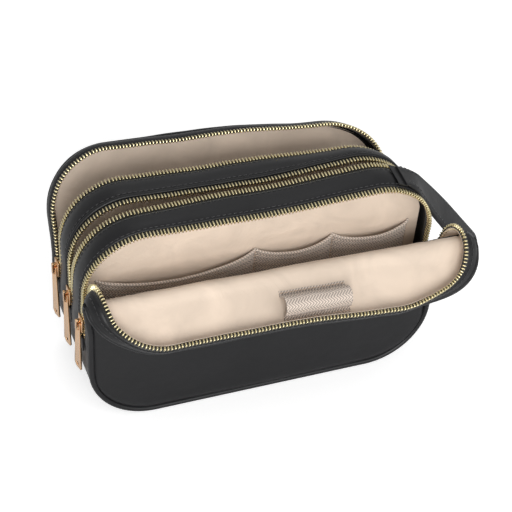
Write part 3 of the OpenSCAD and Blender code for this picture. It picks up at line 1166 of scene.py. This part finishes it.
class POUCH_OT_linings(Builder, bpy.types.Operator):
    """Tan lining of the front, the flap, the flap's side strip and the back."""

    bl_idname = "pouch.linings"
    bl_label = "Linings"

    WALL = 0.5  # thickness of the cloth, mm
    OFF = 1.0  # from the wall to the face of the lining, mm

    def build(self):
        p = sizes()
        inset = LINING_INSET
        depth = FRONT_Y + p.wall + self.OFF
        rows = panel_rows(depth, inset, under(inset), lambda x: p.split - 3, place_root,
                          tall=12)
        lower = panel("front-lower-lining", rows, self.WALL, BACK, "lining", "pouch_body",
                      ["front_lining_lower"])
        self.declare(lower, p.split - inset - 3, "front-panel")
        rows = panel_rows(depth, inset, lambda x: p.split - 5, over(inset), fan, tall=56,
                          bulge=-0.3)
        flap = panel("flap-lining", rows, 0.6, Vector((0, 0.4, 1)), "lining", fold_blend(),
                     ["front_lining_middle", "flap_lining"])
        self.declare(flap, p.height - p.split, "flap-panel")
        rows = panel_rows(BACK_Y - p.wall - self.OFF, inset, under(inset), over(inset), place_back,
                          tall=34, bulge=-0.4)
        back = panel("back-lining", rows, self.WALL, FRONT, "lining", back_blend(),
                     ["back_lining_lower", "back_lining_upper"])
        self.declare(back, p.height - 2 * inset, "back-panel")
        self.side_lining()

    def declare(self, piece, tall, rest):
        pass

    def side_lining(self):
        """Lining of the flap's side strip, up to the teeth."""
        y0, y1 = FRONT_Y + sizes().wall + 1.2, FRONT_ZIP_Y - BAND_GAP + 2.4
        strip("flap-side-lining", top_run(sizes().split + 2), spread(y0, y1, 6, 2.9), fan, 0.4,
              "lining", fold_blend())


class POUCH_OT_dividers(Builder, bpy.types.Operator):
    """The two walls between the compartments, and the slip pocket on the rear one."""

    bl_idname = "pouch.dividers"
    bl_label = "Dividers"

    INSET = 3.2
    THICK = 1.2
    BELOW_EDGE, SAG = 2.4, 1.25  # under the top of the bands, mm, and share of their sag
    POCKET_OUT = 6.0  # how far the slip pocket stands off the divider, mm

    def build(self):
        self.divider("front-divider", FRONT_WALL_Y, place_front, front_blend(),
                     ["front_divider_lower", "front_divider"])
        self.divider("middle-divider", REAR_WALL_Y, place_root, "pouch_body", ["mid_divider"])
        self.pocket(REAR_WALL_Y + 0.8)

    def divider(self, name, y, place, moves, nodes):
        rows = panel_rows(y - self.THICK / 2, self.INSET, under(self.INSET),
                          over(self.BELOW_EDGE, self.SAG), place, tall=34)
        panel(name, rows, self.THICK, FRONT, "lining", moves, nodes)

    def pocket(self, y):
        """Slip pocket: a panel that stands off the divider, gathered in at its sides."""
        high = box_mm("slip_pocket")[1].z
        rows = []
        for x in columns(LINING_INSET, 48):
            base = edge_z(x, LINING_INSET, False)
            column = []
            for j in range(17):
                t = j / 16
                opens = 0.35 + 0.65 * math.sin(math.pi / 2 * t)
                out = self.POCKET_OUT * (1 - (x / 110) ** 4) * opens
                out += wave(x, t * 3, (22, 1), 4, 0.5)
                column.append(Vector((x, y + out, base + (high - base) * t)))
            rows.append(column)
        pocket = panel("slip-pocket", rows, 0.5, BACK, "lining", "pouch_body", ["slip_pocket"])
        tube("slip-pocket-hem", [row[-1] for row in rows], 0.8, "lining", "pouch_body", sides=8)


class POUCH_OT_pockets(Builder, bpy.types.Operator):
    """Three elastic pockets on the front of the divider, bound along the top."""

    bl_idname = "pouch.pockets"
    bl_label = "Elastic pockets"

    SEAMS = (POCKET_LOW.x, 0.0, POCKET_HIGH.x / 2, POCKET_HIGH.x)
    FLOOR = POCKET_LOW.z
    BRIM = box_mm("pocket_binding")[1].z + 3.0
    WIDE_FROM = 60.0
    WIDE, NARROW = (8.6, 5.2), (6.2, 3.6)  # how far a pocket stands out and its brim sags, mm
    SLACK_WIDE = 0.235  # the elastic before it is gathered, metres

    def point(self, x, t, out=0.0):
        """Point of the pockets' face at x, t from the floor to the brim, at rest."""
        for a, b in zip(self.SEAMS, self.SEAMS[1:]):
            if x <= b:
                break
        k = (x - a) / (b - a)
        deep, sag = self.NARROW if b - a < self.WIDE_FROM else self.WIDE
        deep *= math.sin(math.pi * min(1, max(0, k))) ** 0.55 * (0.55 + 0.45 * t)
        deep += wave(x, t * 2, (9, 1), 1.5, 0.35) + out
        tall = self.BRIM - sag * math.sin(math.pi * k) ** 0.7 - self.FLOOR
        return place_front_stiff(Vector((x, FRONT_WALL_Y - 1.2 - deep, self.FLOOR + tall * t)))

    def build(self):
        xs = [a + (b - a) * (1 - math.cos(math.pi * k / 24)) / 2
              for a, b in zip(self.SEAMS, self.SEAMS[1:]) for k in range(24)]
        xs.append(self.SEAMS[-1])
        rows = [[self.point(x, j / 12) for j in range(13)] for x in xs]
        band = panel("elastic-pockets", rows, 0.9, FRONT, "elastic", "front_section",
                     ["pocket_band"])
        brim = [self.point(x, 1.0) + Vector((0, 0.3, 0.2)) for x in xs]
        tube("pocket-binding", brim, 0.95, "elastic", "front_section", ["pocket_binding"],
             sides=8)
        for number, x in enumerate(self.SEAMS):
            x = max(self.SEAMS[0] + 1.2, min(self.SEAMS[-1] - 1.2, x))
            path = [self.point(x, t / 10, 0.5) for t in range(11)]
            seam(f"pocket-seam-{number + 1}", path, [FRONT] * 10, "tan_thread",
                 "front_section", pitch=3.0)


class POUCH_OT_pen_loop(Builder, bpy.types.Operator):
    """Elastic loop for a pen or a stylus on the flap's lining."""

    bl_idname = "pouch.pen_loop"
    bl_label = "Pen loop"

    CENTRE = (22.0, 117.0)  # x and z on the closed flap, mm
    WIDE, TALL, HIGH = 42.0, 13.0, 10.2  # along the pen, across it and off the flap, mm
    EDGE = 3.2  # sewn edge beyond the loop, mm
    FLAT_TALL = 38.5  # the elastic's length round the pen, with both edges, mm

    def profile(self):
        """Points (height off the flap, place across the pen) of the loop's cross-section."""
        half = self.TALL / 2
        edge = [(0.0, half + self.EDGE), (0.0, half + 1.0), (0.5, half - 0.2)]
        angles = [math.pi * k / 16 for k in range(1, 16)]
        arch = [(self.HIGH * math.sin(a) ** 0.8, -half * math.cos(a)) for a in angles]
        return [(out, -z) for out, z in edge] + arch + edge[::-1]

    def build(self):
        cx, cz = self.CENTRE
        seat = FRONT_Y + sizes().wall + 1.9
        start = cx - self.WIDE / 2
        rows = []
        for i in range(23):
            x = start + self.WIDE * i / 22
            lean = 0.5 * math.sin(i * 0.55)
            rows.append([
                place_flap(Vector((x, seat + out * (1 - 0.03 * lean), cz + z + lean * 0.3)))
                for out, z in self.profile()])
        out = place_flap(BACK) - place_flap(Vector())
        loop = panel("pen-loop", rows, 0.9, out, "elastic", "front_flap", ["pen_loop"])
        for word, side in (("lower", -1), ("upper", 1)):
            z = cz + side * (self.TALL / 2 + 2.0)
            path = [place_flap(Vector((start + self.WIDE * i / 12, seat + 0.15, z)))
                    for i in range(13)]
            seam(f"pen-loop-{word}-stitching", path, [out] * 12, "tan_thread", "front_flap",
                 pitch=3.0)


def polar(centre, radius, degrees):
    a = math.radians(degrees)
    return centre[0] + radius * math.cos(a), centre[1] + radius * math.sin(a)


def between(start, end, count):
    """The points that split a line from start, left out, to end into count equal steps."""
    return [tuple(a + (b - a) * k / count for a, b in zip(start, end))
            for k in range(1, count + 1)]


class POUCH_OT_strap(Builder, bpy.types.Operator):
    """Carrying strap on the right side, with the patches that hold its ends."""

    bl_idname = "pouch.strap"
    bl_label = "Carrying strap"

    WIDE, THICK = 18.0, 3.4
    BEND = 15.0  # outer radius of the turn at the far end, mm
    OUT = 44.0  # how far the strap stands out from the side, mm
    TWIST = 36.0  # turn of the strap about its own line at mid length, degrees
    LEAVES = (0.8, 0.6)  # direction out of the corner where the strap leaves it
    PATCH = (59, 67)  # degrees round the corner that the upper patch covers

    def line(self):
        """Centre line of the strap as (x, z) points, from the top corner to the side."""
        p = sizes()
        corner = (p.width / 2 - p.corner, p.height - p.corner)
        radius = p.corner + 0.3 + self.THICK / 2
        bend = self.BEND - self.THICK / 2
        leaves_x, leaves_z = self.LEAVES
        bx = p.width / 2 + self.OUT - self.BEND
        bz = corner[1] + (radius - bend - leaves_x * (bx - corner[0])) / leaves_z
        line = [polar(corner, radius, a) for a in (60, 56, 52, 48, 44, 40, 36.87)]
        line += between(line[-1], (bx + bend * leaves_x, bz + bend * leaves_z), 12)
        line += [polar((bx, bz), bend, a) for a in range(28, -91, -8)]
        line.append((bx, bz - bend))
        return line + between(line[-1], (p.width / 2 + 0.6, bz - bend), 8)

    def build(self):
        line = self.line()
        spots = [Vector((x, FRONT_WALL_Y, z)) for x, z in line]
        rows, faces = [], []
        for i, spot in enumerate(spots):
            along = (spots[min(i + 1, len(spots) - 1)] - spots[max(i - 1, 0)]).normalized()
            out = Vector((-along.z, 0, along.x))
            share = i / (len(spots) - 1)
            twist = math.radians(self.TWIST) * rise(share, 0, 0.3) * rise(share, 1, 0.65)
            up = out * math.cos(twist) + FRONT * math.sin(twist)
            wide = BACK * math.cos(twist) + out * math.sin(twist)
            faces.append((up, wide))
            rows.append([place_front_stiff(spot + wide * a + up * b)
                         for a, b in self.section(0.35 + 0.65 * rise(share, 0, 0.12))])
        strap = surface("carrying-strap", rows)
        close_tube(strap, 30)
        dress(strap, "leather", "front_section", ["carry_strap"], angle=60)
        for face, side_name in ((-1, "inner"), (1, "outer")):
            for edge, edge_name in ((-1, "front"), (1, "rear")):
                path = [place_front_stiff(
                    spot + wide * edge * (self.WIDE / 2 - 2.4) + up * face * self.THICK * 0.56)
                    for spot, (up, wide) in zip(spots, faces)]
                seam(f"strap-{side_name}-{edge_name}-stitching", path,
                     [up * face for up, wide in faces], "dark_thread", "front_section")
        self.patches(spots[-1])

    def section(self, full):
        """Cross-section of the strap, plump in the middle; full thins it towards an end."""
        ring = []
        for k in range(21):
            c, s = math.cos(2 * math.pi * k / 20), math.sin(2 * math.pi * k / 20)
            across = math.copysign(abs(c) ** 0.35, c) * self.WIDE / 2
            up = math.copysign(abs(s) ** 0.6, s) * self.THICK / 2
            ring.append((across, up * (1.0 + 0.22 * (1 - c * c)) * full))
        return ring

    def patches(self, end):
        """A tab inside the lower end, and a patch over the upper one."""
        p = sizes()
        half = self.WIDE / 2
        x, z = p.width / 2 + 1.5, end.z + self.THICK / 2
        tab = block("tab", (x - 1.0, end.y - half, z), (x + 1.0, end.y + half, z + 14))
        bevel_all(tab, 0.6)
        corner = (p.width / 2 - p.corner, p.height - p.corner)
        rows = []
        for a in range(self.PATCH[0], self.PATCH[1] + 1, 2):
            px, pz = polar(corner, p.corner + 1.0, a)
            rows.append([Vector((px, end.y + half * k / 5, pz)) for k in range(-5, 6)])
        patch = surface("patch", rows)
        face_towards(patch, Vector((0.5, 0, 0.86)))
        thicken(patch, 0.5, offset=1.0)
        both = add_to(tab, patch)
        both.name = "strap-patches"
        place = FRONT_TURN.copy()
        place.translation = place.translation * MM
        both.data.transform(place)
        outward(both)
        dress(both, "leather", "front_section", ["strap_patches"])


class POUCH_OT_sliders(Builder, bpy.types.Operator):
    """Sliders of the three zips, and the long pulls that hang from them."""

    bl_idname = "pouch.sliders"
    bl_label = "Sliders and pulls"

    LOOSE_TURN = 15.0  # turn of each pull about its own length, degrees
    PLATE = (4.2, 5.5, 1.2)  # half width, half height and thickness of a slider's plate, mm
    WALL = 2.6  # from the pull's bar in to the slider's body, mm
    BLADE = (0.7, 2.5, 1.9)  # half thickness, half width and top of a pull's blade, mm
    FLARE = 1.48  # width of the blade's foot over its top

    def build(self):
        slider = self.slider()
        pull = self.pull()
        for name in ("front", "mid", "back"):
            place = Matrix.Translation(joint_spot(f"{name}_pull_swing") * MM)
            if name == "front":
                place @= Matrix.Rotation(math.radians(FRONT_OPEN), 4, "X")
            self.copy(slider, f"{name}-slider", place, f"{name}_slider")
            loose = Matrix.Rotation(math.radians(self.LOOSE_TURN), 4, "Z")
            self.copy(pull, f"{name}-pull", place @ loose, f"{name}_pull")
        bpy.data.objects.remove(slider)
        bpy.data.objects.remove(pull)

    def copy(self, template, name, place, node):
        dress(joined(name, template, [place]), "pulls", node, [node], angle=35)

    def plate(self, x):
        """A slider's plate from depth x inwards."""
        wide, tall, thick = self.PLATE
        return block("plate", (x, -wide, -tall), (x + thick, wide, tall))

    def slider(self):
        """Drawn with the pull's bar at the origin and outwards towards -X."""
        wall = self.WALL
        front = self.plate(wall - 1.5)
        resize_foot(front, 0.72)
        inset_faces(front, lambda c, n: n.x < -0.9, 1.2, 0.35)
        bevel_all(front, 0.3, segments=3)
        rear = self.plate(wall + 2.7)
        bevel_all(rear, 0.3)
        post = block("post", (wall - 0.6, -0.4, 1.2), (wall + 3.0, 0.4, 5.2))
        bevel_all(post, 0.15)
        crown = block("crown", (-1.9, -1.1, -3.9), (wall - 1.2, 1.1, 3.9))
        hole = block("hole", (-1.05, -3, -1.25), (wall - 1.5, 3, 2.9))
        bevel_all(hole, 0.5)
        cut_away(crown, hole)
        bevel_all(crown, 0.35, segments=3)
        whole = add_to(front, rear, post, crown)
        whole.name = "slider template"
        outward(whole)
        return whole

    def pull(self):
        """A flat blade on a wire eye; narrow at the top, wide and pierced at the foot."""
        foot = box_mm("mid_pull")[0].z - joint_spot("mid_pull_swing").z
        thick, wide, top = self.BLADE
        blade = block("pull template", (-thick, -wide, foot), (thick, wide, top))
        resize_foot(blade, self.FLARE)
        self.clip_corner(blade, foot)
        eye = block("hole", (-3, -1.45, -4.2), (3, 1.45, 0.75))
        bevel_all(eye, 0.6)
        cut_away(blade, eye)
        deselect()
        bpy.ops.mesh.primitive_cylinder_add(
            vertices=24, radius=1.1 * MM, depth=6 * MM, location=(0, 0, (foot + 3.4) * MM),
            rotation=(0, math.pi / 2, 0))
        hole = shape_primitive("hole")
        bpy.ops.object.transform_apply(location=True, rotation=True, scale=True)
        cut_away(blade, hole)
        bevel_all(blade, 0.28, segments=3)
        return blade

    def clip_corner(self, blade, foot):
        """Cuts the rear corner of the blade's foot off at a slant."""
        bpy.ops.object.mode_set(mode="EDIT")
        mesh = bmesh.from_edit_mesh(blade.data)
        bpy.context.tool_settings.mesh_select_mode = (False, True, False)
        for edge in mesh.edges:
            ends = [v.co / MM for v in edge.verts]
            edge.select_set(all(v.z < foot + 0.5 and v.y > 0 for v in ends) and
                            abs(ends[0].x - ends[1].x) > 1)
        bmesh.update_edit_mesh(blade.data)
        bpy.ops.mesh.bevel(offset=2.4 * MM, segments=1)
        bpy.ops.object.mode_set(mode="OBJECT")


class POUCH_OT_stage(Builder, bpy.types.Operator):
    """Pale floor, soft studio lights and the camera."""

    bl_idname = "pouch.stage"
    bl_label = "Stage"

    YAW, PITCH, ROLL = 21.28, 39.07, -2.76  # degrees
    TARGET = Vector((0.00837, 0.0, 0.0715))
    DISTANCE = 1.07316
    LENS = 119.53
    SURROUND = 0.54  # strength of the white surroundings
    GLOW = 0.45  # light that the floor gives off, to the camera only
    LIGHTS = (  # name, place in metres, size in metres, watts
        ("key light", (-0.35, -1.7, 0.7), 0.9, 23.0),
        ("fill light", (0.9, -1.5, 0.8), 1.2, 8.0),
        ("top light", (0.2, 0.7, 1.7), 0.6, 1.6),
    )

    def build(self):
        scene = bpy.context.scene
        scene.view_settings.view_transform = "Standard"
        self.camera(scene)
        self.world(scene)
        self.floor()
        for lamp in self.LIGHTS:
            self.light(*lamp)

    def camera(self, scene):
        """Looks at the target from in front, turned to the left, raised and slightly rolled."""
        a, e, r = (math.radians(v) for v in (self.YAW, self.PITCH, self.ROLL))
        back = Vector((-math.sin(a) * math.cos(e), -math.cos(a) * math.cos(e), math.sin(e)))
        right = Vector((math.cos(a), -math.sin(a), 0))
        up = back.cross(right)
        turned_right = math.cos(r) * right - math.sin(r) * up
        turned_up = math.sin(r) * right + math.cos(r) * up
        data = bpy.data.cameras.new("camera")
        data.lens = self.LENS
        data.sensor_width = 36
        camera = bpy.data.objects.new("camera", data)
        bpy.context.collection.objects.link(camera)
        place = Matrix((turned_right, turned_up, back)).transposed().to_4x4()
        place.translation = self.TARGET + back * self.DISTANCE
        camera.matrix_world = place
        scene.camera = camera

    def world(self, scene):
        """Soft white surroundings; the camera itself sees plain white."""
        world = bpy.data.worlds.new("studio")
        world.use_nodes = True
        nodes = world.node_tree.nodes
        soft = nodes["Background"]
        soft.inputs["Color"].default_value = (1, 1, 1, 1)
        soft.inputs["Strength"].default_value = self.SURROUND
        plain_white = add_node(world, "ShaderNodeBackground", Color=(1, 1, 1, 1))
        seen = add_node(world, "ShaderNodeLightPath").outputs["Is Camera Ray"]
        choose = add_node(world, "ShaderNodeMixShader", [
            (seen, "Fac"), (soft.outputs[0], 1), (plain_white.outputs[0], 2)])
        link(world, choose.outputs[0], nodes["World Output"].inputs["Surface"])
        scene.world = world

    def floor(self):
        deselect()
        bpy.ops.mesh.primitive_plane_add(size=12, location=(0, 0, -0.0006))
        floor = shape_primitive("floor")
        bpy.ops.object.transform_apply(location=True, rotation=True, scale=True)
        floor.data.materials.append(studio_paint(self.GLOW))

    def light(self, name, spot, size, power):
        data = bpy.data.lights.new(name, "AREA")
        data.size = size
        data.energy = power
        lamp = bpy.data.objects.new(name, data)
        bpy.context.collection.objects.link(lamp)
        lamp.location = spot
        aim = Vector((0, 0, 0.06)) - Vector(spot)
        lamp.rotation_euler = aim.to_track_quat("-Z", "Y").to_euler()


class POUCH_PT_panel(bpy.types.Panel):
    """Sizes, colours and building steps of the pouch."""

    bl_idname = "POUCH_PT_panel"
    bl_label = "Cable organizer pouch"
    bl_space_type = "VIEW_3D"
    bl_region_type = "UI"
    bl_category = "Pouch"

    def draw(self, context):
        for group in ("pouch_sizes", "pouch_zips", "pouch_colours"):
            column = self.layout.column()
            holder = getattr(context.scene, group)
            for key in holder.bl_rna.properties.keys():
                if key not in ("rna_type", "name"):
                    column.prop(holder, key)
        for step in STEPS:
            self.layout.operator(step.bl_idname)


STEPS = (
    POUCH_OT_base, POUCH_OT_panels, POUCH_OT_bands, POUCH_OT_zips, POUCH_OT_flap,
    POUCH_OT_linings, POUCH_OT_dividers, POUCH_OT_pockets, POUCH_OT_pen_loop,
    POUCH_OT_strap, POUCH_OT_sliders, POUCH_OT_stage,
)
CLASSES = (PouchSizes, ZipSizes, PouchColours) + STEPS + (POUCH_PT_panel,)


def register():
    for cls in CLASSES:
        bpy.utils.register_class(cls)
    scene = bpy.types.Scene
    scene.pouch_sizes = bpy.props.PointerProperty(type=PouchSizes)
    scene.pouch_zips = bpy.props.PointerProperty(type=ZipSizes)
    scene.pouch_colours = bpy.props.PointerProperty(type=PouchColours)


def unregister():
    for name in ("pouch_sizes", "pouch_zips", "pouch_colours"):
        delattr(bpy.types.Scene, name)
    for cls in reversed(CLASSES):
        bpy.utils.unregister_class(cls)


def main():
    register()
    for step in STEPS:
        group, name = step.bl_idname.split(".")
        getattr(getattr(bpy.ops, group), name)()


if __name__ == "__main__":
    main()
